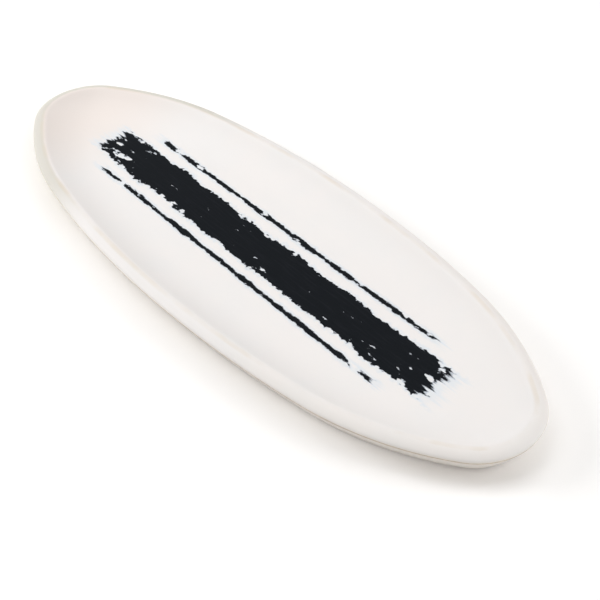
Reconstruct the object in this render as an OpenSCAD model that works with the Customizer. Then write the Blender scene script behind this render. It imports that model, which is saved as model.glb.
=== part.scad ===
// Oval ceramic tray: a shallow clay dish on a low foot ring, glazed white, with brushed black stripes.
// The tray stands on the plane z = 0, centred on the origin, with its length along X. Millimetres.

/* [Outline] */
// Length over the lip
tray_len = 380; // [340:1:420]
// Width over the lip, at the middle
tray_wid = 137; // [124:1:150]
// Radius of the outline at each end
end_r = 35.5; // [33:0.5:40]
// Angle from the tip at which the end arc runs into the shoulder arc
end_turn = 53; // [45:1:56]
// Angle from the tip at which the shoulder arc runs into the side arc
side_turn = 80; // [77:1:83]

/* [Section] */
// Height from the table to the top of the lip
tray_h = 17; // [15:0.5:19.5]
// Thickness of the floor with its glaze
floor_t = 7.75; // [6:0.25:8.5]
// Radius of the rounded crest of the lip
lip_r = 4.5; // [2:0.1:6]
// Radius of the rolled outer face of the lip, which begins at the top of the crest
face_r = 8; // [6:0.1:10]
// Angle from straight up at which the outer face runs into the lower edge
face_to = 40; // [34:1:46]
// Radius of the lower edge of the lip
edge_r = 2; // [1.4:0.1:2.6]
// Radius of the cove between the lip and the floor
cove_r = 39; // [30:0.5:46]
// How far the heel of the outer wall is drawn in under the lip
heel_in = 6.5; // [4:0.25:8]
// Radius of the heel
heel_r = 1.8; // [1.2:0.1:2.6]

/* [Foot ring] */
// Height of the foot ring below the glazed underside
foot_h = 1.5; // [1:0.1:2.5]
// Width of the foot ring
foot_w = 5; // [3:0.25:7]
// Distance of the foot ring in from the end of the heel
foot_set = 4.5; // [3:0.25:8]
// Chamfer along the foot's lower edges
foot_edge = 0.6; // [0.3:0.1:0.9]

/* [Glaze] */
// Thickness of the white glaze
glaze_t = 0.5; // [0.3:0.05:0.8]
// Bare margin wiped clean beside the foot ring
wiped = 1; // [0.5:0.1:2]

/* [Brushed stripes] */
// Clear floor and cove between the tip of the lip and the longest streak of the broad stripe
stripe_margin = 44; // [43:1:70]
// Width of the broad stripe
band_w = 26; // [16:1:32]
// Width of each thin stripe
line_w = 3.6; // [2:0.2:6]
// Clear floor between the broad stripe and each thin one
line_gap = 6.5; // [3:0.5:10]
// How much sooner the thin stripes end than the broad one, at each end
line_short = 22; // [20:0.5:40]
// Thickness of the black glaze
stripe_t = 0.25; // [0.15:0.05:0.5]
// Longest dry streak at the ends of the stripes
streak_len = 18; // [8:1:24]
// Number of dry streaks at each end of the broad stripe
band_streaks = 11; // [5:1:13]
// Number of dry streaks at each end of a thin stripe
line_streaks = 2; // [2:1:3]

/* [Hidden] */
$fn = 360;

// Angle of each step along a rounded stretch of the section, and steps along each arc of a flat oval
round_step = 7.5;
outline_steps = 12;
// Width over which the flat middle and the swept ring round it lap
lap = 1;
// Place of each corner of a drawn-in outline, as a share of its step
mid_step = 0.5;
// Shortest dry streak as a share of the longest
shortest = 0.2;
// Width of a streak at its root and at its tip, as shares of its lane
root_share = 0.8;
tip_share = 0.25;

// The outline is eight tangent arcs: two ends, four shoulders and two sides.
// The shoulder and side radii follow from the length and the width.
half_len = tray_len / 2;
half_wid = tray_wid / 2;
run_x = half_len - end_r * (1 - cos(end_turn));
run_y = half_wid - end_r * sin(end_turn);
shoulder_dx = cos(end_turn) - cos(side_turn);
shoulder_dy = sin(side_turn) - sin(end_turn);
side_dx = cos(side_turn);
side_dy = 1 - sin(side_turn);
det = shoulder_dx * side_dy - side_dx * shoulder_dy;
shoulder_r = (run_x * side_dy - run_y * side_dx) / det;
side_r = (run_y * shoulder_dx - run_x * shoulder_dy) / det;
end_x = half_len - end_r;
shoulder_x = end_x - (shoulder_r - end_r) * cos(end_turn);
shoulder_y = -(shoulder_r - end_r) * sin(end_turn);
side_y = half_wid - side_r;

// Each arc: centre, radius, first angle, last angle
OUTLINE = [
    [[end_x, 0], end_r, -end_turn, end_turn],
    [[shoulder_x, shoulder_y], shoulder_r, end_turn, side_turn],
    [[0, side_y], side_r, side_turn, 180 - side_turn],
    [[-shoulder_x, shoulder_y], shoulder_r, 180 - side_turn, 180 - end_turn],
    [[-end_x, 0], end_r, 180 - end_turn, 180 + end_turn],
    [[-shoulder_x, -shoulder_y], shoulder_r, 180 + end_turn, 180 + side_turn],
    [[0, -side_y], side_r, 180 + side_turn, 360 - side_turn],
    [[shoulder_x, -shoulder_y], shoulder_r, 360 - side_turn, 360 - end_turn]
];

// Points of the section are [distance in from the outer edge of the lip, height].
floor_z = foot_h + floor_t;
depth = tray_h - floor_z;
swell_r = cove_r + lip_r;
// Directions in a section, as angles: straight up, straight out, and where the outer face ends
upward = 90;
outward = 180;
face_low = upward + face_to;
// Centres of the crest, of the outer face and of the lower edge, which run into each other smoothly
low_run = (face_r - edge_r) * turned(face_low);
lip_c = [edge_r - low_run[0], tray_h - lip_r];
face_c = [lip_c[0], tray_h - face_r];
edge_c = face_c + low_run;
cove_in = lip_c[0] + sqrt(swell_r * swell_r - (swell_r - depth) * (swell_r - depth));
cove_c = [cove_in, floor_z + cove_r];
heel_c = [heel_in + heel_r, foot_h + heel_r];
// Angle at which the crest of the lip turns into the cove
lean = atan2(cove_c[1] - lip_c[1], cove_c[0] - lip_c[0]);
// Angle at which the straight outer wall leaves the lip's lower edge and meets the heel
wall_run = heel_c - edge_c;
wall_turn = 360 + atan2(wall_run[1], wall_run[0]) - acos((edge_r - heel_r) / norm(wall_run));
// The swept ring reaches past the cove, and the flat middle laps over its end.
ring_in = cove_in + 2 * lap;
middle_in = cove_in + lap;
foot_in = heel_c[0] + foot_set;
glazed_in = foot_in - wiped;

function turned(a) = [cos(a), sin(a)];

// Points along a rounded stretch, with or without its first and last ones
function bend(c, r, from, to, first = 0, last = 0) =
    let (steps = ceil(abs(to - from) / round_step))
        [for (i = [first : steps - last]) c + r * turned(from + (to - from) * i / steps)];

function flip(points) = [for (i = [len(points) - 1 : -1 : 0]) points[i]];

// The upper side, from the widest line of the lip over its crest to the floor, sunk t below the finish
function upper(t) = concat(
    bend(edge_c, edge_r - t, outward, face_low),
    bend(face_c, face_r - t, face_low, upward, 1),
    bend(lip_c, lip_r - t, upward, lean, 1),
    bend(cove_c, cove_r + t, 180 + lean, 270, 1, 1),
    [[cove_in, floor_z - t], [ring_in, floor_z - t]]
);

// The bare line of clay, from the top of the outer wall up to the widest line, where the glaze ends
function bare(t) = bend(edge_c, edge_r - t, wall_turn, outward, 0, 1);

// The top of the straight outer wall, sunk t below the finish
function wall_top(t) = edge_c + (edge_r - t) * turned(wall_turn);

// The lower side, from the heel to a distance in along the underside, sunk t below the finish
function lower(t, to) = concat(
    bend(heel_c, heel_r - t, wall_turn, 270, 0, 1),
    [[heel_c[0], foot_h + t], [to, foot_h + t]]
);

// The outline drawn in by a distance, with its corners clear of the joints between the arcs
function oval(inset) = [
    for (arc = OUTLINE)
        each [for (i = [0 : outline_steps - 1])
            arc[0] + (arc[1] - inset) * turned(arc[2] + (arc[3] - arc[2]) * (i + mid_step) / outline_steps)]
];

// Moves by a round distance and then by the small rest, so that neighbouring arcs meet exactly
module placed(v) {
    near = [for (x = v) round(100 * x) / 100];
    translate(near)
        translate(v - near)
            children();
}

// Carries a section round the outline, arc by arc
module round_outline(section)
    for (arc = OUTLINE)
        placed(arc[0])
            rotate_extrude(angle = arc[3] - arc[2], start = arc[2])
                placed([arc[1], 0])
                    mirror([1, 0])
                        polygon(section);

module flat_oval(inset, from_z, to_z)
    translate([0, 0, from_z])
        linear_extrude(to_z - from_z)
            polygon(oval(inset));

// A steady but uneven share, from 0 to 1, for the streak with this number
function unevenness(i) = 0.5 + 0.5 * sin(137 * i + 40);

// The outline of the streaks at one end of a stripe, as points [reach, across], from one edge to the other
function dry_end(wid, count, seed) =
    let (pitch = wid / count)
        [for (i = [0 : count - 1])
            let (middle = (i + 0.5) * pitch - wid / 2)
            let (reach = streak_len * (shortest + (1 - shortest) * unevenness(i + seed)))
            let (foot = root_share * pitch / 2)
            let (tip = tip_share * pitch / 2)
                each [[0, middle - foot], [reach, middle - tip], [reach, middle + tip], [0, middle + foot]]];

// A stripe along the floor, whose longest streaks stop short of the tip of the lip
module stripe(y, wid, count, short) {
    half = half_len - stripe_margin - short - streak_len;
    translate([0, y, floor_z])
        linear_extrude(stripe_t)
            polygon(concat(
                [[half, -wid / 2]],
                [for (p = dry_end(wid, count, 0)) [half + p[0], p[1]]],
                [[half, wid / 2], [-half, wid / 2]],
                [for (p = flip(dry_end(wid, count, count))) [-half - p[0], p[1]]],
                [[-half, -wid / 2]]
            ));
}

line_y = band_w / 2 + line_gap + line_w / 2;

module tray_body()
    color("tan") {
        round_outline(concat(bare(glaze_t), upper(glaze_t), flip(lower(glaze_t, ring_in))));
        flat_oval(middle_in, foot_h + glaze_t, floor_z - glaze_t);
    }

module foot_ring()
    color("burlywood")
        round_outline([
            [foot_in, foot_h + glaze_t],
            [foot_in, foot_edge],
            [foot_in + foot_edge, 0],
            [foot_in + foot_w - foot_edge, 0],
            [foot_in + foot_w, foot_edge],
            [foot_in + foot_w, foot_h + glaze_t]
        ]);

module inside_glaze()
    color("ivory") {
        round_outline(concat(upper(0), flip(upper(glaze_t))));
        flat_oval(middle_in, floor_z - glaze_t, floor_z);
    }

module outside_glaze()
    color("linen")
        round_outline(concat(
            [wall_top(0)],
            lower(0, glazed_in),
            flip(lower(glaze_t, glazed_in)),
            [wall_top(glaze_t)]
        ));

module base_glaze()
    color("linen")
        flat_oval(foot_in + foot_w + wiped, foot_h, foot_h + glaze_t);

module black_band()
    color("black")
        stripe(0, band_w, band_streaks, 0);

module near_line()
    color("black")
        stripe(-line_y, line_w, line_streaks, line_short);

module far_line()
    color("black")
        stripe(line_y, line_w, line_streaks, line_short);

tray_body();
foot_ring();
inside_glaze();
outside_glaze();
base_glaze();
black_band();
near_line();
far_line();
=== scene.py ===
"""Looks of the oval ceramic tray.

It has a clay body, a foot ring, coats of white glaze and brushed black stripes, and stands on a white stage.
"""

import math

import bpy
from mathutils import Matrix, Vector


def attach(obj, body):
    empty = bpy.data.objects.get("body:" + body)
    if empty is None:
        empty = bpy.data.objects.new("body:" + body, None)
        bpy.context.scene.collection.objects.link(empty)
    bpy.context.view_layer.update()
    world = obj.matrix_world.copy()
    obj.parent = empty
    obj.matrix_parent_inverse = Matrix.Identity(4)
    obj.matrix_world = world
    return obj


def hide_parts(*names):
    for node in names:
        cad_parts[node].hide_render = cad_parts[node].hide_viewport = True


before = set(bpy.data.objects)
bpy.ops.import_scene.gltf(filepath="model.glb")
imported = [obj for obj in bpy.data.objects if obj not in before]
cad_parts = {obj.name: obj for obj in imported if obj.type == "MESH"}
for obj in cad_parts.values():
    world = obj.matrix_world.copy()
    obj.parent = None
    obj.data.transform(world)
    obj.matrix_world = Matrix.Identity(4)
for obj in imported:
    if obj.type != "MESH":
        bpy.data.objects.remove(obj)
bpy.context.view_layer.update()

bl_info = {
    "name": "Oval tray",
    "version": (1, 0, 0),
    "blender": (4, 5, 0),
    "location": "View3D > Sidebar > Tray",
    "description": "Builds a glazed oval tray on a foot ring, with brushed stripes",
    "category": "Object",
}

BODY = "root"

# Steps of a section along its flat stretches: past the cove, down the wall, under the heel, to the middle
RING_STEPS, WALL_STEPS, UNDER_STEPS, MIDDLE_STEPS = 2, 6, 4, 16
# Points nearer to each other than this become one, in metres
WELD, FILM_WELD = 2e-6, 1e-6
# Seed of the sway of the hand, and the power by which the sag of the floor falls off towards the cove
HAND_SEED, SAG_POWER = 4.0, 1.5
# Width of the camera's sensor in millimetres, and the distances that it sees in metres
SENSOR, CLIP_START, CLIP_END = 36.0, 0.01, 20.0
WHITE = (1.0, 1.0, 1.0, 1.0)


def length(name, default, description):
    """A size in metres."""
    return bpy.props.FloatProperty(
        name=name, description=description, default=default, min=0.0, unit="LENGTH", precision=5
    )


def angle(name, default, description):
    """An angle, given in degrees and kept in radians."""
    return bpy.props.FloatProperty(
        name=name, description=description, default=math.radians(default), unit="ROTATION"
    )


def colour(name, default, description):
    """A linear colour."""
    return bpy.props.FloatVectorProperty(
        name=name, description=description, default=default, size=3, min=0.0, max=1.0, subtype="COLOR"
    )


def share(name, default, description):
    """A number without a unit."""
    return bpy.props.FloatProperty(name=name, description=description, default=default)


def count(name, default, description):
    """A whole number."""
    return bpy.props.IntProperty(name=name, description=description, default=default, min=1)


class TraySizes(bpy.types.PropertyGroup):
    """Sizes of the outline and of the section."""

    long: length("Length", 0.380, "Length over the lip")
    wide: length("Width", 0.137, "Width over the lip, at the middle")
    end_r: length("End radius", 0.0355, "Radius of the outline at each end")
    end_turn: angle("End turn", 53.0, "Angle at which the end arc runs into the shoulder arc")
    side_turn: angle("Side turn", 80.0, "Angle at which the shoulder arc runs into the side arc")
    tall: length("Height", 0.017, "Height from the table to the top of the lip")
    floor_t: length("Floor", 0.00775, "Thickness of the floor with its glaze")
    lip_r: length("Lip radius", 0.0045, "Radius of the rounded crest of the lip")
    face_r: length("Face radius", 0.008, "Radius of the rolled outer face of the lip")
    face_to: angle("Face end", 40.0, "Angle from straight up where the outer face meets the lower edge")
    edge_r: length("Edge radius", 0.002, "Radius of the lower edge of the lip")
    cove_r: length("Cove radius", 0.039, "Radius of the cove between the lip and the floor")
    heel_in: length("Heel inset", 0.0065, "How far the heel is drawn in under the lip")
    heel_r: length("Heel radius", 0.0018, "Radius of the heel")
    foot_h: length("Foot height", 0.0015, "Height of the foot ring below the glazed underside")
    foot_w: length("Foot width", 0.005, "Width of the foot ring")
    foot_set: length("Foot inset", 0.0045, "Distance of the foot ring in from the end of the heel")
    foot_edge: length("Foot edge", 0.0006, "Rounding of the lower edges of the foot")
    glaze_t: length("Glaze", 0.0005, "Thickness of the white glaze")
    glaze_edge: length("Glaze edge", 0.0001, "Thickness of the glaze where it ends")
    glaze_fade: length("Glaze fade", 0.003, "Length over which the glaze thins towards its end")
    wiped: length("Wiped margin", 0.001, "Bare margin wiped clean beside the foot ring")
    middle_in: length("Middle inset", 0.002, "How far the floor ring reaches past the cove")
    dish: length("Dish", 0.0004, "How far the floor sags at the middle")
    wobble: length("Hand wobble", 0.00035, "How far the hand-made shape strays from the drawn one")
    wobble_span: length("Wobble span", 0.085, "Length of one sway of the hand-made shape")
    steps_round: count("Steps round", 640, "Steps along the outline")
    round_step: angle("Round step", 5.0, "Angle of each step along a rounded stretch")


class StripeSizes(bpy.types.PropertyGroup):
    """Sizes of the brushed stripes."""

    margin: length("Margin", 0.044, "Clear length between the tip of the lip and the longest streak")
    band_w: length("Band width", 0.026, "Width of the broad stripe")
    line_w: length("Line width", 0.0036, "Width of each thin stripe")
    line_gap: length("Line gap", 0.0065, "Clear floor between the broad stripe and each thin one")
    line_short: length("Line shortfall", 0.022, "How much sooner the thin stripes end")
    film: length("Film", 0.00025, "Thickness of the black glaze")
    streak: length("Streak", 0.018, "Longest dry streak at the ends")
    ragged: length("Ragged edge", 0.0028, "How far the edges of a stripe stray")
    grain: length("Edge grain", 0.0034, "Length of one tooth along the edges")
    ramp: length("Edge ramp", 0.0012, "Width over which the film reaches its full thickness")
    bleed: length("Bleed", 0.002, "How far the black bleeds pale blue into the white")
    band_lane: length("Band lane", 0.0016, "Width of a dry streak in the broad stripe")
    line_lane: length("Line lane", 0.0011, "Width of a dry streak in a thin stripe")
    line_ragged: share("Line raggedness", 0.5, "Ragged edge of a thin stripe as a share of the broad one's")
    step_along: length("Step along", 0.0007, "Step of the film's mesh along the stripe")
    step_across: length("Step across", 0.00035, "Step of the film's mesh across the stripe")


class TrayColours(bpy.types.PropertyGroup):
    """Colours of the clay and the glazes."""

    glaze: colour("White glaze", (0.842, 0.81, 0.79), "Cream-white glaze")
    glaze_cool: colour("Cool cloud", (0.83, 0.807, 0.791), "Cooler clouds in the glaze")
    # Painted shade with a warm tint, on the lip at the left end
    glaze_warm_shaded: colour("Warm glaze", (0.67, 0.643, 0.587), "Glaze toned by the clay at the left end")
    # Painted shade with a rosy tint, in the well at the left end
    glaze_rose_shaded: colour("Rosy glaze", (0.82, 0.752, 0.71), "Glaze of the well at the left end")
    glaze_thin: colour("Thin glaze", (0.70, 0.60, 0.46), "Glaze that lets the clay show through")
    halo: colour("Halo", (0.66, 0.70, 0.76), "Black glaze at its thin edge")
    bleed: colour("Bleed", (0.72, 0.76, 0.80), "White glaze that the black bled into")
    black: colour("Black glaze", (0.003, 0.0042, 0.006), "Black glaze where it is thick")
    black_worn: colour("Worn black", (0.0075, 0.0088, 0.0115), "Black glaze where the brush left less")
    clay: colour("Clay", (0.60, 0.50, 0.39), "Toasted bare clay")
    clay_pale: colour("Pale clay", (0.70, 0.61, 0.50), "Paler grains in the clay")


class StageLook(bpy.types.PropertyGroup):
    """Camera, light and floor."""

    azimuth: angle("Azimuth", 49.31, "Direction of the camera round the tray")
    elevation: angle("Elevation", 42.0, "Height of the camera above the horizon")
    distance: length("Distance", 0.570, "Distance from the camera to what it aims at")
    lens: share("Lens", 69.07, "Focal length in millimetres")
    aim: bpy.props.FloatVectorProperty(
        name="Aim", description="Point the camera looks at", default=(0.05376, -0.01495, 0.0165),
        size=3, subtype="TRANSLATION", unit="LENGTH"
    )
    light: share("Light", 1.02, "Strength of all the lamps together")
    lamp_far: length("Lamp distance", 1.5, "Distance of each lamp from the tray")
    sky: share("Sky", 0.0, "Strength of the even white light all round")
    floor_half: length("Floor size", 3.0, "Half of the width of the floor")
    floor_near: length("Floor fade", 0.26, "Distance from the middle where the floor starts to fade")
    floor_far: length("Floor end", 0.5, "Distance from the middle where the floor is plain white")
    bounce: colour("Floor bounce", (0.9, 0.9, 0.9), "Colour of the floor in the light that it throws back")
    shadow_tint: colour("Shadow tint", (1.0, 0.68, 0.4), "Warm light that lifts the shadows on the floor")
    shadow_lift: share("Shadow lift", 0.045, "Strength of the light that lifts the shadows")


# Lamps: name, direction round the tray and height above the horizon in degrees, width in metres,
# part of full white that the lamp gives the floor
LAMPS = (
    ("left", 212.0, 68.0, 1.1, 0.25),
    ("left_low", 218.0, 24.0, 0.9, 0.25),
    ("back", 100.0, 59.0, 1.6, 0.29),
    ("back_low", 48.0, 28.0, 1.1, 0.13),
    ("front_low", 345.0, 22.0, 0.9, 0.11),
)

PARTS = ("sizes", "stripes", "colours", "look")


class TrayProperties(bpy.types.PropertyGroup):
    """All that the panel shows."""

    sizes: bpy.props.PointerProperty(type=TraySizes, name="Sizes", description="Outline and section")
    stripes: bpy.props.PointerProperty(type=StripeSizes, name="Stripes", description="Brushed stripes")
    colours: bpy.props.PointerProperty(type=TrayColours, name="Colours", description="Clay and glazes")
    look: bpy.props.PointerProperty(type=StageLook, name="Stage", description="Camera, light and floor")


class Wire:
    """A node's output that takes part in sums: each sum adds its nodes to the tree."""

    def __init__(self, tree, socket=None):
        self.tree = tree
        self.socket = socket

    def make(self, kind, inputs=None, output=0, **settings):
        """Adds a node, sets or links its inputs by name or number, and gives one of its outputs."""
        node = self.tree.nodes.new(kind)
        for name, value in settings.items():
            setattr(node, name, value)
        for key, value in (inputs or {}).items():
            if isinstance(value, Wire):
                self.tree.links.new(value.socket, node.inputs[key])
            else:
                node.inputs[key].default_value = value
        return Wire(self.tree, node.outputs[output])

    def math(self, operation, *others):
        """A sum of this and other values, by the math node's name for it."""
        values = dict(enumerate((self, *others)))
        return self.make("ShaderNodeMath", values, operation=operation)

    def ramp(self, low, high):
        """Runs smoothly from 0 to 1 while this goes from low to high."""
        values = {0: self, 1: low, 2: high, 3: 0.0, 4: 1.0}
        return self.make("ShaderNodeMapRange", values, interpolation_type="SMOOTHSTEP")

    def pick(self, otherwise, chosen):
        """Chosen where this is 1, otherwise where it is 0, and a mix between."""
        return self.make("ShaderNodeMix", {0: self, 2: otherwise, 3: chosen}, data_type="FLOAT")

    def tint(self, otherwise, chosen):
        """The same mix for colours."""
        wide = [(*c, 1.0) if not isinstance(c, Wire) else c for c in (otherwise, chosen)]
        return self.make("ShaderNodeMix", {0: self, 6: wide[0], 7: wide[1]}, 2, data_type="RGBA")

    def noise(self, scale, detail, seed, roughness=0.5):
        """Smooth noise round 0.5 at this place; the seed is the fourth dimension."""
        values = {"Vector": self, "W": seed, "Scale": scale, "Detail": detail, "Roughness": roughness}
        return self.make("ShaderNodeTexNoise", values, noise_dimensions="4D")

    def parts(self):
        """The three numbers of this vector."""
        node = self.tree.nodes.new("ShaderNodeSeparateXYZ")
        self.tree.links.new(self.socket, node.inputs[0])
        return [Wire(self.tree, socket) for socket in node.outputs]

    def vector(self, x, y, z):
        """A vector of three numbers."""
        return self.make("ShaderNodeCombineXYZ", {0: x, 1: y, 2: z})

    def __add__(self, other):
        return self.math("ADD", other)

    def __radd__(self, other):
        return self.math("ADD", other)

    def __sub__(self, other):
        return self.math("SUBTRACT", other)

    def __rsub__(self, other):
        return self.make("ShaderNodeMath", {0: other, 1: self}, operation="SUBTRACT")

    def __mul__(self, other):
        return self.math("MULTIPLY", other)

    def __rmul__(self, other):
        return self.math("MULTIPLY", other)

    def __truediv__(self, other):
        return self.math("DIVIDE", other)

    def __rtruediv__(self, other):
        return self.make("ShaderNodeMath", {0: other, 1: self}, operation="DIVIDE")

    def __abs__(self):
        return self.math("ABSOLUTE")

    def __lt__(self, other):
        return self.math("LESS_THAN", other)

    def __gt__(self, other):
        return self.math("GREATER_THAN", other)


class Shape:
    """Lengths and angles that follow from the sizes; points are (inset from the lip's edge, height)."""

    def __init__(self, sizes):
        self.sizes = sizes
        half_len, half_wid = sizes.long / 2, sizes.wide / 2
        end, side = sizes.end_turn, sizes.side_turn
        run_x = half_len - sizes.end_r * (1 - math.cos(end))
        run_y = half_wid - sizes.end_r * math.sin(end)
        over_x, over_y = math.cos(end) - math.cos(side), math.sin(side) - math.sin(end)
        side_x, side_y = math.cos(side), 1 - math.sin(side)
        det = over_x * side_y - side_x * over_y
        self.half_len, self.half_wid = half_len, half_wid
        self.shoulder_r = (run_x * side_y - run_y * side_x) / det
        self.side_r = (run_y * over_x - run_x * over_y) / det
        self.end_x = half_len - sizes.end_r
        self.shoulder_x = self.end_x - (self.shoulder_r - sizes.end_r) * math.cos(end)
        self.shoulder_y = -(self.shoulder_r - sizes.end_r) * math.sin(end)
        self.side_y = half_wid - self.side_r
        self.floor_z = sizes.foot_h + sizes.floor_t
        depth = sizes.tall - self.floor_z
        swell = sizes.cove_r + sizes.lip_r
        self.face_low = math.pi / 2 + sizes.face_to
        low = Vector((math.cos(self.face_low), math.sin(self.face_low))) * (sizes.face_r - sizes.edge_r)
        self.lip_c = Vector((sizes.edge_r - low.x, sizes.tall - sizes.lip_r))
        self.face_c = Vector((self.lip_c.x, sizes.tall - sizes.face_r))
        self.edge_c = self.face_c + low
        self.cove_in = self.lip_c.x + math.sqrt(swell**2 - (swell - depth) ** 2)
        self.cove_c = Vector((self.cove_in, self.floor_z + sizes.cove_r))
        self.heel_c = Vector((sizes.heel_in + sizes.heel_r, sizes.foot_h + sizes.heel_r))
        leaning = self.cove_c - self.lip_c
        self.lean = math.atan2(leaning.y, leaning.x)
        wall = self.heel_c - self.edge_c
        slant = math.acos((sizes.edge_r - sizes.heel_r) / wall.length)
        self.wall_turn = 2 * math.pi + math.atan2(wall.y, wall.x) - slant
        self.ring_in = self.cove_in + sizes.middle_in
        self.foot_in = self.heel_c.x + sizes.foot_set
        self.glazed_in = self.foot_in - sizes.wiped

    def bend(self, centre, radius, start, stop, hollow=False):
        """Points along a rounded stretch, each with the direction that its surface faces."""
        steps = max(2, math.ceil(abs(stop - start) / self.sizes.round_step))
        turns = [start + (stop - start) * i / steps for i in range(steps + 1)]
        rays = [Vector((math.cos(a), math.sin(a))) for a in turns]
        return [(centre + ray * radius, -ray if hollow else ray) for ray in rays]

    def straight(self, start, stop, facing, steps):
        """Points along a straight stretch that faces one way."""
        return [(start.lerp(stop, i / steps), facing) for i in range(steps + 1)]

    def upper(self):
        """The finished upper side, from the widest line of the lip to the edge of the flat floor."""
        sizes = self.sizes
        edge = self.bend(self.edge_c, sizes.edge_r, math.pi, self.face_low)
        face = self.bend(self.face_c, sizes.face_r, self.face_low, math.pi / 2)
        crest = self.bend(self.lip_c, sizes.lip_r, math.pi / 2, self.lean)
        cove = self.bend(self.cove_c, sizes.cove_r, math.pi + self.lean, 1.5 * math.pi, hollow=True)
        outer, inner = Vector((self.cove_in, self.floor_z)), Vector((self.ring_in, self.floor_z))
        flat = self.straight(outer, inner, Vector((0, 1)), RING_STEPS)
        return edge + face[1:] + crest[1:] + cove[1:] + flat[1:]

    def lower(self, stop):
        """The finished outer side, from the top of the outer wall to an inset along the underside."""
        sizes = self.sizes
        facing = Vector((math.cos(self.wall_turn), math.sin(self.wall_turn)))
        top, foot = self.edge_c + facing * sizes.edge_r, self.heel_c + facing * sizes.heel_r
        wall = self.straight(top, foot, facing, WALL_STEPS)
        heel = self.bend(self.heel_c, sizes.heel_r, self.wall_turn, 1.5 * math.pi)
        outer, inner = Vector((self.heel_c.x, sizes.foot_h)), Vector((stop, sizes.foot_h))
        flat = self.straight(outer, inner, Vector((0, -1)), UNDER_STEPS)
        return wall + heel[1:] + flat[1:]

    def sunk(self, line, fade_stop=False):
        """A line moved in by the glaze's thickness, which thins at its start and, if asked, at its stop."""
        sizes = self.sizes
        along = [0.0]
        for (a, _), (b, _) in zip(line, line[1:]):
            along.append(along[-1] + (b - a).length)
        moved = []
        for (point, facing), run in zip(line, along):
            near = [run] + [along[-1] - run] * fade_stop
            grown = min(1.0, min(near) / sizes.glaze_fade)
            thick = sizes.glaze_edge + (sizes.glaze_t - sizes.glaze_edge) * grown * (2 - grown)
            moved.append((point - facing * thick, facing))
        return moved


def to_middle(inset, height, tilt=0.0):
    """Section points of the flat rest of a sheet, from a ring at this inset to the middle of the tray."""
    return [(inset, 1 - (i + 1) / MIDDLE_STEPS, height, tilt) for i in range(MIDDLE_STEPS)]


def ring(line):
    """Section points that stay on their ring: inset, share of the way from the middle, height and tilt.

    The tilt is the angle between straight up and the way that the surface looks, positive outwards."""
    return [(point.x, 1.0, point.y, math.atan2(-facing.x, facing.y)) for point, facing in line]


OVAL_TREE, FILM_TREE = "carried_round_the_oval", "brushed_film"
# Inputs of hand_shift, which both trees have
HAND_INPUTS = (
    "Dish", "Dish length", "Dish width", "Settled below", "Free above", "Hand wobble", "Wobble span", "Seed",
)


def start_tree(name, numbers, whole=()):
    """A new geometry tree, with these numbers, those of the hand and a material as its inputs."""
    tree = bpy.data.node_groups.new(name, "GeometryNodeTree")
    face = tree.interface
    labels = [("Geometry", "Geometry")]
    labels += [(number, "Float") for number in (*numbers, *HAND_INPUTS)]
    labels += [(number, "Int") for number in whole]
    labels += [("Material", "Material")]
    for label, kind in labels:
        face.new_socket(label, in_out="INPUT", socket_type="NodeSocket" + kind)
    face.new_socket("Geometry", in_out="OUTPUT", socket_type="NodeSocketGeometry")
    group = tree.nodes.new("NodeGroupInput")
    return tree, {socket.name: Wire(tree, socket) for socket in group.outputs if socket.name}


def carry_tree():
    """Node tree that carries a section, the object's own mesh, round the oval outline.

    A section vertex is (inset from the lip's edge, share of the way from the middle, height).
    Its tilt is an attribute."""
    tree, get = start_tree(OVAL_TREE, (
        "End radius", "Shoulder radius", "Side radius", "End centre X", "Shoulder centre X",
        "Shoulder centre Y", "Side centre Y", "End turn", "Side turn",
    ), ("Steps round",))
    new = Wire(tree)

    section = get["Geometry"]
    points = new.make("GeometryNodeAttributeDomainSize", {0: section}, component="MESH")
    sheet = new.make("GeometryNodeMeshGrid", {
        "Size X": 1.0, "Size Y": 1.0, "Vertices X": get["Steps round"] + 1.0, "Vertices Y": points,
    })
    place = new.make("GeometryNodeInputPosition")
    x, y, _ = place.parts()
    turn = (x + 0.5) * (2 * math.pi)
    number = ((y + 0.5) * (points - 1.0)).math("ROUND")
    sampled = {"domain": "POINT", "clamp": True}
    drawn = {"Geometry": section, "Value": place, "Index": number}
    spot = new.make("GeometryNodeSampleIndex", drawn, data_type="FLOAT_VECTOR", **sampled)
    inset, middle, height = spot.parts()
    own_tilt = new.make("GeometryNodeInputNamedAttribute", {"Name": "tilt"}, data_type="FLOAT")
    drawn["Value"] = own_tilt
    tilt = new.make("GeometryNodeSampleIndex", drawn, data_type="FLOAT", **sampled)

    across, up = turn.math("COSINE"), turn.math("SINE")
    folded = abs(up).math("ARCTAN2", abs(across))
    at_end, at_side = folded < get["End turn"], folded > get["Side turn"]
    radius = at_end.pick(at_side.pick(get["Shoulder radius"], get["Side radius"]), get["End radius"])
    centre_x = at_end.pick(at_side.pick(get["Shoulder centre X"], 0.0), get["End centre X"])
    centre_y = at_end.pick(at_side.pick(get["Shoulder centre Y"], get["Side centre Y"]), 0.0)
    oval_x = (centre_x * across.math("SIGN") + (radius - inset) * across) * middle
    oval_y = (centre_y * up.math("SIGN") + (radius - inset) * up) * middle

    moved = hand_shift(get, oval_x, oval_y, height)
    stored = new.make(
        "GeometryNodeStoreNamedAttribute", {"Geometry": sheet, "Name": "tilt", "Value": tilt},
        data_type="FLOAT", domain="POINT",
    )
    shaped = new.make("GeometryNodeSetPosition", {"Geometry": stored, "Position": moved})
    closed = new.make("GeometryNodeMergeByDistance", {"Geometry": shaped, "Distance": WELD})
    finish_tree(tree, new, closed, get["Material"])
    return tree


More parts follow.
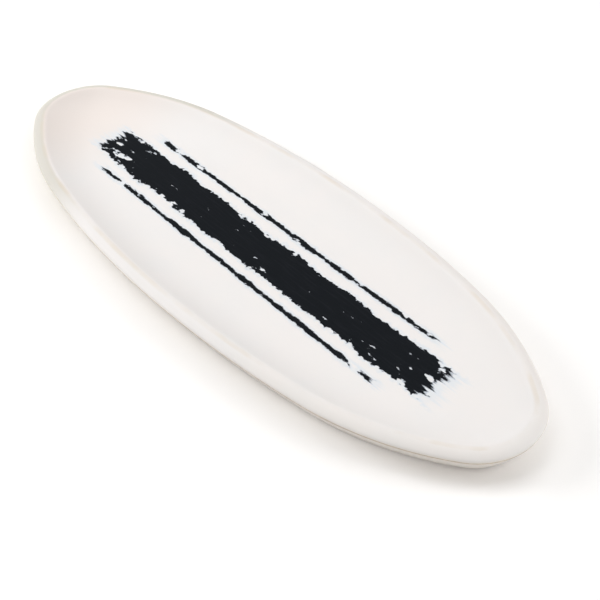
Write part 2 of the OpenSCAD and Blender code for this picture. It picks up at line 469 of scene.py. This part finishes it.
def hand_shift(get, x, y, height):
    """The drawn place moved by the sag of the floor and the sway of the hand, while the foot stays flat."""
    new = Wire(x.tree)
    loose = height.ramp(get["Settled below"], get["Free above"])
    rise = 1.0 - (x / get["Dish length"]).math("POWER", 2.0) - (y / get["Dish width"]).math("POWER", 2.0)
    sag = get["Dish"] * rise.math("MAXIMUM", 0.0).math("POWER", SAG_POWER)
    spot = new.vector(x / get["Wobble span"], y / get["Wobble span"], get["Seed"])
    waves = {"Vector": spot, "Scale": 1.0, "Detail": 1.0}
    sway = new.make("ShaderNodeTexNoise", waves, "Color", noise_dimensions="3D")
    sway_x, sway_y, sway_z = sway.parts()
    reach = 2.0 * get["Hand wobble"] * loose
    return new.vector(
        x + (sway_x - 0.5) * reach,
        y + (sway_y - 0.5) * reach,
        height - sag * loose + (sway_z - 0.5) * reach,
    )


def finish_tree(tree, new, geometry, material):
    """Ends a tree: smooth shading, real instances and the material."""
    smooth = new.make("GeometryNodeSetShadeSmooth", {"Geometry": geometry})
    real = new.make("GeometryNodeRealizeInstances", {"Geometry": smooth})
    done = new.make("GeometryNodeSetMaterial", {"Geometry": real, "Material": material})
    output = tree.nodes.new("NodeGroupOutput")
    tree.links.new(done.socket, output.inputs[0])


# The brush. Waves of each noise in one grain, and of the bristles in one streak
TEETH_WAVES, DRIFT_WAVES, FLECK_WAVES, BRISTLE_WAVES = 1.0, 0.35, 0.9, 0.9
# Detail and roughness of each noise
TEETH_DETAIL, DRIFT_DETAIL, FLECK_DETAIL, BRISTLE_DETAIL = 4.0, 1.0, 3.0, 2.5
TEETH_ROUGH, FLECK_ROUGH, BRISTLE_ROUGH = 0.68, 0.6, 0.55
# Seed of each noise, on top of the stripe's own
DRIFT_SEED, FLECK_SEED, BRISTLE_SEED = 3.1, 5.3, 7.7
# Scale of the drift both ways, and of the flecks along the brush
DRIFT_SCALE, FLECK_SCALE = 0.4, 0.5
# How far the teeth and the drift move an edge, in ragged edges
TEETH_REACH, DRIFT_REACH = 3.2, 2.4
# How much the bristles differ in reach, and the reach of the middling one, in streaks
BRISTLE_SPREAD, BRISTLE_REACH = 1.5, 0.42
# Fleck noise over the limit leaves the floor bare; the limit falls by these at the dry ends and the sides
FLECK_LIMIT, FLECK_DRY, FLECK_SIDE = 0.71, 0.1, 0.06
# Stretch over which an end runs dry, in streaks past the loaded part, and width of a side, in metres
DRY_FROM, DRY_TO, SIDE_W = -2.2, 0.2, 0.0055
# Depth that stands for the length of a streak, as a share of it, and for the fleck noise, in metres
STREAK_DEPTH, FLECK_DEPTH = 0.22, 0.014
# Share of the edge ramp over which sides and streaks melt together
MELT = 0.5


def brush_depth(x, y, get):
    """How far a place lies inside a stripe with ragged edges, dry streaks at its ends and bare flecks."""
    new = Wire(x.tree)
    grain, streak, middle, seed = get["Grain"], get["Streak"], get["Middle"], get["Brush seed"]
    place = new.vector(x, y, middle)
    teeth = place.noise(TEETH_WAVES / grain, TEETH_DETAIL, seed, TEETH_ROUGH) - 0.5
    place = new.vector(x * DRIFT_SCALE, y * DRIFT_SCALE, 0.0)
    drift = place.noise(DRIFT_WAVES / grain, DRIFT_DETAIL, seed + DRIFT_SEED) - 0.5
    side = get["Half width"] - abs(y) + (teeth * TEETH_REACH + drift * DRIFT_REACH) * get["Ragged"]
    place = new.vector(x / streak * BRISTLE_WAVES, y / get["Lane"], 0.0)
    bristle = place.noise(1.0, BRISTLE_DETAIL, seed + BRISTLE_SEED, BRISTLE_ROUGH)
    dry = (abs(x) - get["Half length"]) / streak
    kept = (bristle - 0.5) * BRISTLE_SPREAD + BRISTLE_REACH - dry
    place = new.vector(x * FLECK_SCALE, y, middle)
    flecks = place.noise(FLECK_WAVES / grain, FLECK_DETAIL, seed + FLECK_SEED, FLECK_ROUGH)
    starved = dry.ramp(DRY_FROM, DRY_TO) * FLECK_DRY + side.ramp(SIDE_W, 0.0) * FLECK_SIDE
    covered = (FLECK_LIMIT - starved - flecks) * FLECK_DEPTH
    brushed = side.math("SMOOTH_MIN", kept * streak * STREAK_DEPTH, get["Ramp"] * MELT)
    return brushed.math("MINIMUM", covered)


def stripe_rows(props):
    """Name, replaced node and sizes of each stripe."""
    stripes, shape = props.stripes, Shape(props.sizes)
    line_y = stripes.band_w / 2 + stripes.line_gap + stripes.line_w / 2
    broad = stripes.band_w, 0.0, stripes.band_lane, 1.0
    thin = stripes.line_w, stripes.line_short, stripes.line_lane, stripes.line_ragged
    # Name, node, middle and seed of each, then width, shortfall, lane and raggedness
    rows = (
        ("broad_stripe", "black_band", 0.0, 1.0, *broad),
        ("near_stripe", "near_line", -line_y, 2.0, *thin),
        ("far_stripe", "far_line", line_y, 3.0, *thin),
    )
    for name, node, middle, seed, wide, short, lane, rough in rows:
        yield name, node, {
            "Half length": shape.half_len - stripes.margin - short - stripes.streak,
            "Half width": wide / 2,
            "Middle": middle,
            "Floor": shape.floor_z,
            "Film": stripes.film,
            "Streak": stripes.streak,
            "Lane": lane,
            "Ragged": stripes.ragged * rough,
            "Grain": stripes.grain,
            "Ramp": stripes.ramp,
            "Step along": stripes.step_along,
            "Step across": stripes.step_across,
            "Brush seed": seed,
        }


# Room for the ragged edges round the sheet that a film is cut from, in ragged edges
FILM_ROOM = 2.2
# Rounds and weight of the smoothing of a film's rim, and the faces at an edge under which it is on the rim
RIM_ROUNDS, RIM_WEIGHT, RIM_FACES = 3, 0.8, 1.5


def film_tree():
    """Node tree that lays a brushed film of glaze along the floor, closed underneath."""
    tree, get = start_tree(FILM_TREE, (
        "Half length", "Half width", "Middle", "Floor", "Film", "Streak", "Lane", "Ragged", "Grain", "Ramp",
        "Step along", "Step across", "Brush seed",
    ))
    new = Wire(tree)

    margin = get["Ragged"] * FILM_ROOM
    long = (get["Half length"] + get["Streak"] + margin) * 2.0
    wide = (get["Half width"] + margin) * 2.0
    sheet = new.make("GeometryNodeMeshGrid", {
        "Size X": long, "Size Y": wide,
        "Vertices X": long / get["Step along"], "Vertices Y": wide / get["Step across"],
    })
    place = new.make("GeometryNodeInputPosition")
    x, y, _ = place.parts()
    depth = brush_depth(x, y, get)
    filled = depth.ramp(0.0, get["Ramp"])

    marked = new.make("GeometryNodeStoreNamedAttribute", {
        "Geometry": sheet, "Name": "film", "Value": filled,
    }, data_type="FLOAT", domain="POINT")
    kept_faces = new.make("GeometryNodeDeleteGeometry", {
        "Geometry": marked, "Selection": depth < 0.0,
    }, domain="FACE")
    neighbours = new.make("GeometryNodeInputMeshEdgeNeighbors")
    at_edges = {"data_type": "FLOAT", "domain": "EDGE"}
    rim = new.make("GeometryNodeFieldOnDomain", {0: neighbours}, **at_edges) < RIM_FACES
    rim_points = new.make("GeometryNodeFieldOnDomain", {0: rim}, **at_edges) > 0.0
    softened = new.make("GeometryNodeBlurAttribute", {
        "Value": place, "Iterations": RIM_ROUNDS, "Weight": RIM_WEIGHT,
    }, data_type="FLOAT_VECTOR")
    eased = new.make("GeometryNodeSetPosition", {
        "Geometry": kept_faces, "Selection": rim_points, "Position": softened,
    })
    film = new.make("GeometryNodeInputNamedAttribute", {"Name": "film"}, data_type="FLOAT")
    top_z = get["Floor"] + film * get["Film"] * (1.0 - rim_points)
    laid_y = y + get["Middle"]
    top = new.make("GeometryNodeSetPosition", {
        "Geometry": eased, "Position": hand_shift(get, x, laid_y, top_z),
    })
    lower = new.make("GeometryNodeSetPosition", {
        "Geometry": eased, "Position": hand_shift(get, x, laid_y, get["Floor"]),
    })
    under = new.make("GeometryNodeFlipFaces", {"Mesh": lower})
    join = tree.nodes.new("GeometryNodeJoinGeometry")
    for layer in (under, top):
        tree.links.new(layer.socket, join.inputs[0])
    both = Wire(tree, join.outputs[0])
    closed = new.make("GeometryNodeMergeByDistance", {"Geometry": both, "Distance": FILM_WELD})
    finish_tree(tree, new, closed, get["Material"])
    return tree


def grow(name, tree, values, section=()):
    """Runs a node tree on a section and keeps the result as a plain mesh in an object of its own."""
    mesh = bpy.data.meshes.new(name + "_section")
    mesh.from_pydata([point[:3] for point in section], [], [])
    tilts = mesh.attributes.new("tilt", "FLOAT", "POINT")
    tilts.data.foreach_set("value", [point[3] for point in section])
    piece = bpy.data.objects.new(name, mesh)
    bpy.context.scene.collection.objects.link(piece)
    modifier = piece.modifiers.new("built", "NODES")
    modifier.node_group = tree
    for item in tree.interface.items_tree:
        if item.in_out == "INPUT" and item.name in values:
            modifier[item.identifier] = values[item.name]
    graph = bpy.context.evaluated_depsgraph_get()
    built = bpy.data.meshes.new_from_object(
        piece.evaluated_get(graph), preserve_all_data_layers=True, depsgraph=graph
    )
    built.name = name
    piece.modifiers.remove(modifier)
    piece.data = built
    bpy.data.meshes.remove(mesh)
    if not built.polygons:
        raise RuntimeError(name + " came out empty")
    return piece


def settled(props):
    """Inputs of hand_shift, the same for every piece so that the layers stay together."""
    sizes, shape = props.sizes, Shape(props.sizes)
    return {
        "Dish": sizes.dish,
        "Dish length": shape.half_len - shape.cove_in,
        "Dish width": shape.half_wid - shape.cove_in,
        "Settled below": sizes.foot_h + sizes.glaze_t,
        "Free above": shape.floor_z - sizes.glaze_t,
        "Hand wobble": sizes.wobble,
        "Wobble span": sizes.wobble_span,
        "Seed": HAND_SEED,
    }


def carry(name, props, section, material, node):
    """Makes a piece by carrying its section round the oval."""
    sizes, shape = props.sizes, Shape(props.sizes)
    tree = bpy.data.node_groups.get(OVAL_TREE) or carry_tree()
    values = {
        "End radius": sizes.end_r,
        "Shoulder radius": shape.shoulder_r,
        "Side radius": shape.side_r,
        "End centre X": shape.end_x,
        "Shoulder centre X": shape.shoulder_x,
        "Shoulder centre Y": shape.shoulder_y,
        "Side centre Y": shape.side_y,
        "End turn": sizes.end_turn,
        "Side turn": sizes.side_turn,
        "Steps round": sizes.steps_round,
        "Material": material,
    }
    piece = grow(name, tree, values | settled(props), section)
    place_piece(piece, node)


def place_piece(piece, node):
    """Ties a finished piece to the frame."""
    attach(piece, BODY)
    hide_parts(node)


def new_material(name):
    """A new material, its shader and the place in the object that its noises start from."""
    material = bpy.data.materials.new(name)
    material.use_nodes = True
    tree = material.node_tree
    tree.nodes.clear()
    shader = tree.nodes.new("ShaderNodeBsdfPrincipled")
    output = tree.nodes.new("ShaderNodeOutputMaterial")
    tree.links.new(shader.outputs[0], output.inputs[0])
    place = Wire(tree).make("ShaderNodeTexCoord", output="Object")
    return material, shader, place


def connect(shader, **values):
    """Links or sets a shader's inputs; underscores stand for spaces."""
    for key, value in values.items():
        socket = shader.inputs[key.replace("_", " ")]
        if isinstance(value, Wire):
            value.tree.links.new(value.socket, socket)
        else:
            socket.default_value = value


# White glaze. Each noise: waves in a metre, detail and seed
CLOUDS, PATCHES, WEAR = (38.0, 3.0, 1.0), (160.0, 2.0, 2.0), (45.0, 2.0, 8.0)
SPECKS, SWELL, RIPPLE = (900.0, 1.0, 3.0), (28.0, 2.0, 5.0), (420.0, 2.0, 6.0)
# Levels of a noise between which its marks come up
CLOUDS_UP, WEAR_UP, SPECKS_UP = (0.38, 0.66), (0.4, 0.68), (0.76, 0.84)
# Heights at which the top of the lip begins, as shares of the tray's
LIP_LOW, LIP_HIGH = 0.92, 0.955
# Tilts in radians at which the crest comes and goes, and at which the lip's top, its face and the wall begin
CREST_IN, CREST_OUT = (-0.4, 0.0), (0.3, 0.1)
TOP_FROM, FACE_FROM, SKIRT_FROM = (-0.15, 0.15), (0.05, 0.25), (0.75, 1.6)
# Places along the length, in metres, between which the warm lip, the rosy well and the toned lip come up;
# the warm lip and the rosy well carry painted shade as well as their tint
WARM_SHADED_LIP, ROSY_SHADED_WELL, TONED_LIP = (-0.065, -0.118), (-0.105, -0.165), (0.03, 0.1)
# How much clay shows at the crest: everywhere, where it is worn and by patches
CREST_SHOWN, CREST_WORN, CREST_PATCHY = 0.08, 0.3, 0.3
# How much of the other marks shows, and how far patches move the start of the skirt
TONED_SHOWN, SKIRT_SHOWN, SKIRT_PATCHY = 0.1, 0.32, 0.3
SPECKS_SHOWN, BLEED_SHOWN = 0.25, 0.7
WHITE_BUMP, RIPPLE_HEIGHT = {"Strength": 0.12, "Distance": 0.001}, 0.06
WHITE_ROUGH, CLOUDS_ROUGH, WHITE_SHINE = 0.62, 0.06, 0.2


def white_glaze(props):
    """Cream-white satin glaze with soft clouds and fine specks.

    The clay shows through at its edges, the black bleeds pale blue into it, and painted shade darkens the
    lip and the well at the left end."""
    found = bpy.data.materials.get("cream_white_satin")
    if found:
        return found
    colours, stripes, tall = props.colours, props.stripes, props.sizes.tall
    material, shader, place = new_material("cream_white_satin")
    new = Wire(place.tree)
    x, y, z = place.parts()
    clouds = place.noise(*CLOUDS).ramp(*CLOUDS_UP)
    base = clouds.tint(colours.glaze, colours.glaze_cool)

    tilt = new.make("ShaderNodeAttribute", output="Fac", attribute_name="tilt")
    patchy = place.noise(*PATCHES) - 0.5
    high = z.ramp(LIP_LOW * tall, LIP_HIGH * tall)
    worn = place.noise(*WEAR).ramp(*WEAR_UP)
    bare = CREST_SHOWN + CREST_WORN * worn + CREST_PATCHY * patchy
    crest = tilt.ramp(*CREST_IN) * tilt.ramp(*CREST_OUT) * high * bare
    rolled = (tilt.ramp(*TOP_FROM) * high).math("MAXIMUM", tilt.ramp(*FACE_FROM))
    # Painted shade with a rosy tint: darkens the well at the left end
    base = x.ramp(*ROSY_SHADED_WELL).tint(base, colours.glaze_rose_shaded)
    # Painted shade with a warm tint: darkens the lip's top and face at the left end
    base = (x.ramp(*WARM_SHADED_LIP) * rolled).tint(base, colours.glaze_warm_shaded)
    toned = x.ramp(*TONED_LIP) * rolled * TONED_SHOWN
    skirt = (tilt + patchy * SKIRT_PATCHY).ramp(*SKIRT_FROM) * SKIRT_SHOWN
    base = crest.math("MAXIMUM", toned).math("MAXIMUM", skirt).tint(base, colours.glaze_thin)

    specks = place.noise(*SPECKS).ramp(*SPECKS_UP)
    base = (specks * SPECKS_SHOWN).tint(base, colours.glaze_thin)

    for _, _, sizes in stripe_rows(props):
        bled = brush_depth(x, y - sizes["Middle"], sizes).ramp(-stripes.bleed, 0.0)
        base = (bled * (BLEED_SHOWN + patchy)).tint(base, colours.bleed)

    height = place.noise(*SWELL) + place.noise(*RIPPLE) * RIPPLE_HEIGHT
    bump = new.make("ShaderNodeBump", WHITE_BUMP | {"Height": height})
    rough = clouds * CLOUDS_ROUGH + WHITE_ROUGH
    connect(shader, Base_Color=base, Roughness=rough, Normal=bump, Specular_IOR_Level=WHITE_SHINE)
    return material


# Bare clay. Each noise: waves in a metre, detail and seed
GRAINS, TOAST = (700.0, 3.0, 1.0), (60.0, 2.0, 2.0)
DARK_SPECKS, GRIT = (1500.0, 1.0, 3.0), (1800.0, 3.0, 4.0)
# Levels of a noise between which its marks come up
GRAINS_UP, TOAST_UP, DARK_SPECKS_UP = (0.4, 0.68), (0.4, 0.7), (0.7, 0.78)
# How much of the marks shows, and what they leave of the clay's brightness
TOAST_SHOWN, TOAST_LEAVES, DARK_SHOWN, DARK_LEAVES = 0.3, 0.7, 0.6, 0.3
CLAY_BUMP = {"Strength": 0.35, "Distance": 0.0003}
CLAY_ROUGH, GRAINS_ROUGH = 0.82, 0.1


def clay_material(props):
    """Bare fired clay: toasted, with paler grains and dark specks."""
    found = bpy.data.materials.get("bare_fired_clay")
    if found:
        return found
    colours = props.colours
    material, shader, place = new_material("bare_fired_clay")
    new = Wire(place.tree)
    grains = place.noise(*GRAINS).ramp(*GRAINS_UP)
    base = grains.tint(colours.clay, colours.clay_pale)
    toast = place.noise(*TOAST).ramp(*TOAST_UP) * TOAST_SHOWN
    base = toast.tint(base, [TOAST_LEAVES * c for c in colours.clay])
    specks = place.noise(*DARK_SPECKS).ramp(*DARK_SPECKS_UP) * DARK_SHOWN
    base = specks.tint(base, [DARK_LEAVES * c for c in colours.clay])
    bump = new.make("ShaderNodeBump", CLAY_BUMP | {"Height": place.noise(*GRIT)})
    connect(shader, Base_Color=base, Roughness=CLAY_ROUGH + grains * GRAINS_ROUGH, Normal=bump)
    return material


# Black glaze. Waves of the brush marks in a metre, along and across the brush
MARKS_ALONG, MARKS_ACROSS = 60.0, 900.0
# Each noise: waves, in a metre apart from the marks', detail and seed
MARKS, THIN_PATCHES, BLACK_RIPPLE = (1.0, 3.0, 1.0), (1100.0, 2.0, 2.0), (500.0, 2.0, 4.0)
# Levels between which the brush marks look worn, and the film looks thin with its patches
WORN_UP, THIN_UP, THIN_PATCHY = (0.45, 0.75), (0.55, 0.0), 0.5
BLACK_BUMP, MARKS_HEIGHT, BLACK_RIPPLE_HEIGHT = {"Strength": 0.2, "Distance": 0.0004}, 0.6, 0.4
BLACK_ROUGH, MARKS_ROUGH, BLACK_SHINE = 0.45, 0.2, 0.042


def black_glaze(props):
    """Brushed black satin glaze: grey-blue where it is thin, streaked along the brush."""
    found = bpy.data.materials.get("brushed_black")
    if found:
        return found
    colours = props.colours
    material, shader, place = new_material("brushed_black")
    new = Wire(place.tree)
    x, y, _ = place.parts()
    film = new.make("ShaderNodeAttribute", output="Fac", attribute_name="film")
    marks = new.vector(x * MARKS_ALONG, y * MARKS_ACROSS, 0.0).noise(*MARKS)
    base = marks.ramp(*WORN_UP).tint(colours.black, colours.black_worn)
    thin = (film + (place.noise(*THIN_PATCHES) - 0.5) * THIN_PATCHY).ramp(*THIN_UP)
    base = thin.tint(base, colours.halo)
    height = marks * MARKS_HEIGHT + place.noise(*BLACK_RIPPLE) * BLACK_RIPPLE_HEIGHT
    bump = new.make("ShaderNodeBump", BLACK_BUMP | {"Height": height})
    rough = marks * MARKS_ROUGH + BLACK_ROUGH
    connect(shader, Base_Color=base, Roughness=rough, Normal=bump, Specular_IOR_Level=BLACK_SHINE)
    return material


class TRAY_OT_clay(bpy.types.Operator):
    """Makes the clay dish and its foot ring"""

    bl_idname = "tray.clay"
    bl_label = "Clay"

    def execute(self, context):
        props = context.scene.tray
        sizes, shape = props.sizes, Shape(props.sizes)
        material = clay_material(props)
        top = ring(shape.sunk(shape.upper()))
        under = ring(shape.sunk(shape.lower(shape.ring_in)))
        bare = ring(shape.bend(shape.edge_c, sizes.edge_r - sizes.glaze_edge, math.pi, shape.wall_turn))
        section = (
            to_middle(shape.ring_in, top[-1][2])[::-1]
            + top[::-1]
            + bare[1:-1]
            + under
            + to_middle(shape.ring_in, under[-1][2], math.pi)
        )
        carry("clay_body", props, section, material, "tray_body")

        edge, outside, inside = sizes.foot_edge, shape.foot_in, shape.foot_in + sizes.foot_w
        root = sizes.foot_h + sizes.glaze_t
        low_out = shape.bend(Vector((outside + edge, edge)), edge, math.pi, 1.5 * math.pi)
        low_in = shape.bend(Vector((inside - edge, edge)), edge, 1.5 * math.pi, 2 * math.pi)
        foot = (
            [(outside, 1.0, root, math.pi / 2)]
            + ring(low_out)
            + ring(low_in)
            + [(inside, 1.0, root, 0.0), (outside, 1.0, root, 0.0)]
        )
        carry("foot", props, foot, material, "foot_ring")
        return {"FINISHED"}


class TRAY_OT_white(bpy.types.Operator):
    """Makes the three coats of white glaze"""

    bl_idname = "tray.white"
    bl_label = "White glaze"

    def execute(self, context):
        props = context.scene.tray
        sizes, shape = props.sizes, Shape(props.sizes)
        material = white_glaze(props)
        line = shape.upper()
        back = shape.sunk(line)
        section = (
            to_middle(shape.ring_in, line[-1][0].y)[::-1]
            + ring(line)[::-1]
            + ring(back)
            + to_middle(shape.ring_in, back[-1][0].y)
        )
        carry("inside_coat", props, section, material, "inside_glaze")

        line = shape.lower(shape.glazed_in)
        back = shape.sunk(line, fade_stop=True)
        section = ring(line) + ring(back)[::-1] + ring(line)[:1]
        carry("outside_coat", props, section, material, "outside_glaze")

        inset = shape.foot_in + sizes.foot_w + sizes.wiped
        corner = Vector((inset + sizes.glaze_t, sizes.foot_h + sizes.glaze_t))
        section = (
            to_middle(inset, sizes.foot_h + sizes.glaze_t)[::-1]
            + ring(shape.bend(corner, sizes.glaze_t, math.pi, 1.5 * math.pi))
            + to_middle(inset + sizes.glaze_t, sizes.foot_h, math.pi)
        )
        carry("base_coat", props, section, material, "base_glaze")
        return {"FINISHED"}


class TRAY_OT_stripes(bpy.types.Operator):
    """Makes the three brushed stripes"""

    bl_idname = "tray.stripes"
    bl_label = "Stripes"

    def execute(self, context):
        props = context.scene.tray
        material = black_glaze(props)
        tree = bpy.data.node_groups.get(FILM_TREE) or film_tree()
        for name, node, values in stripe_rows(props):
            piece = grow(name, tree, values | settled(props) | {"Material": material})
            place_piece(piece, node)
        return {"FINISHED"}


class TRAY_OT_stage(bpy.types.Operator):
    """Makes the white floor, the lights and the camera"""

    bl_idname = "tray.stage"
    bl_label = "Stage"

    def execute(self, context):
        look = context.scene.tray.look
        self.floor(look)
        self.light(look)
        self.camera(context, look)
        return {"FINISHED"}

    def floor(self, look):
        """A white floor that keeps the shadow, fades to plain white, and can't be seen from below."""
        half = look.floor_half
        mesh = bpy.data.meshes.new("floor")
        corners = [(-half, -half, 0.0), (half, -half, 0.0), (half, half, 0.0), (-half, half, 0.0)]
        mesh.from_pydata(corners, [], [(0, 1, 2, 3)])
        floor = bpy.data.objects.new("floor", mesh)
        bpy.context.scene.collection.objects.link(floor)
        material = bpy.data.materials.new("white_floor")
        material.use_nodes = True
        tree = material.node_tree
        tree.nodes.clear()
        new = Wire(tree)
        seen = self.seen(new)
        matt = new.make("ShaderNodeBsdfDiffuse", {"Color": (*look.bounce, 1.0)})
        warm = {"Color": (*look.shadow_tint, 1.0), "Strength": look.shadow_lift}
        lit = new.make("ShaderNodeEmission", warm)
        bright = new.make("ShaderNodeBsdfDiffuse", {"Color": WHITE})
        close = new.make("ShaderNodeAddShader", {0: bright, 1: lit})
        x, y, _ = new.make("ShaderNodeTexCoord", output="Object").parts()
        away = (x * x + y * y).math("SQRT").ramp(look.floor_near, look.floor_far)
        plain = new.make("ShaderNodeEmission", {"Color": WHITE, "Strength": 1.0})
        white = new.make("ShaderNodeMixShader", {0: away, 1: close, 2: plain})
        shown = new.make("ShaderNodeMixShader", {0: seen, 1: matt, 2: white})
        beneath = new.make("ShaderNodeNewGeometry", output="Backfacing")
        clear = new.make("ShaderNodeBsdfTransparent")
        both = new.make("ShaderNodeMixShader", {0: beneath, 1: shown, 2: clear})
        output = tree.nodes.new("ShaderNodeOutputMaterial")
        tree.links.new(both.socket, output.inputs[0])
        mesh.materials.append(material)

    def seen(self, new):
        """1 for rays that show the stage itself, straight or in a shine."""
        node = new.tree.nodes.new("ShaderNodeLightPath")
        kinds = ("Is Camera Ray", "Is Glossy Ray", "Is Transmission Ray")
        camera, shine, through = (Wire(new.tree, node.outputs[kind]) for kind in kinds)
        return camera.math("MAXIMUM", shine).math("MAXIMUM", through)

    def light(self, look):
        """A white backdrop, and soft lamps on the left, behind and in front."""
        world = bpy.data.worlds.new("studio")
        bpy.context.scene.world = world
        world.use_nodes = True
        tree = world.node_tree
        tree.nodes.clear()
        new = Wire(tree)
        strength = self.seen(new).pick(look.sky, 1.0)
        sky = new.make("ShaderNodeBackground", {"Color": WHITE, "Strength": strength})
        output = tree.nodes.new("ShaderNodeOutputWorld")
        tree.links.new(sky.socket, output.inputs[0])

        for name, azimuth, elevation, size, part in LAMPS:
            self.lamp(name, math.radians(azimuth), math.radians(elevation), size, part * look.light, look)

    def lamp(self, name, azimuth, elevation, size, part, look):
        """A soft round lamp that gives a white floor this part of full white."""
        level = math.cos(elevation)
        place = look.lamp_far * Vector((
            level * math.cos(azimuth), level * math.sin(azimuth), math.sin(elevation)
        ))
        data = bpy.data.lights.new(name, "AREA")
        data.shape = "DISK"
        data.size = size
        data.energy = part * math.pi**2 * (look.lamp_far**2 + size**2 / 4) / math.sin(elevation)
        lamp = bpy.data.objects.new(name, data)
        lamp.location = place
        lamp.rotation_mode = "QUATERNION"
        lamp.rotation_quaternion = (-place).to_track_quat("-Z", "Y")
        bpy.context.scene.collection.objects.link(lamp)

    def camera(self, context, look):
        """The camera of the photo."""
        data = bpy.data.cameras.new("camera")
        data.sensor_width = SENSOR
        data.lens = look.lens
        data.clip_start, data.clip_end = CLIP_START, CLIP_END
        level = math.cos(look.elevation)
        back = Vector((
            math.sin(look.azimuth) * level, -math.cos(look.azimuth) * level, math.sin(look.elevation)
        ))
        camera = bpy.data.objects.new("camera", data)
        camera.location = Vector(look.aim) + back * look.distance
        camera.rotation_mode = "QUATERNION"
        camera.rotation_quaternion = (-back).to_track_quat("-Z", "Y")
        context.scene.collection.objects.link(camera)
        context.scene.camera = camera
        context.scene.view_settings.view_transform = "Standard"


class TRAY_PT_panel(bpy.types.Panel):
    """Sizes, colours and buttons of the tray"""

    bl_idname = "TRAY_PT_panel"
    bl_label = "Oval tray"
    bl_space_type = "VIEW_3D"
    bl_region_type = "UI"
    bl_category = "Tray"

    def draw(self, context):
        props = context.scene.tray
        for part in PARTS:
            box = self.layout.box()
            group = getattr(props, part)
            for name in group.bl_rna.properties.keys():
                if name not in ("rna_type", "name"):
                    box.prop(group, name)
        for operator in OPERATORS:
            self.layout.operator(operator.bl_idname)


GROUPS = (TraySizes, StripeSizes, TrayColours, StageLook, TrayProperties)
OPERATORS = (TRAY_OT_clay, TRAY_OT_white, TRAY_OT_stripes, TRAY_OT_stage)
CLASSES = (*GROUPS, *OPERATORS, TRAY_PT_panel)


def register():
    """Makes the classes and the scene's own properties known to Blender."""
    for cls in CLASSES:
        bpy.utils.register_class(cls)
    bpy.types.Scene.tray = bpy.props.PointerProperty(type=TrayProperties)


def unregister():
    """Takes them out again."""
    del bpy.types.Scene.tray
    for cls in reversed(CLASSES):
        bpy.utils.unregister_class(cls)


def main():
    """Builds the tray and its stage."""
    register()
    bpy.ops.tray.clay()
    bpy.ops.tray.white()
    bpy.ops.tray.stripes()
    bpy.ops.tray.stage()


if __name__ == "__main__":
    main()
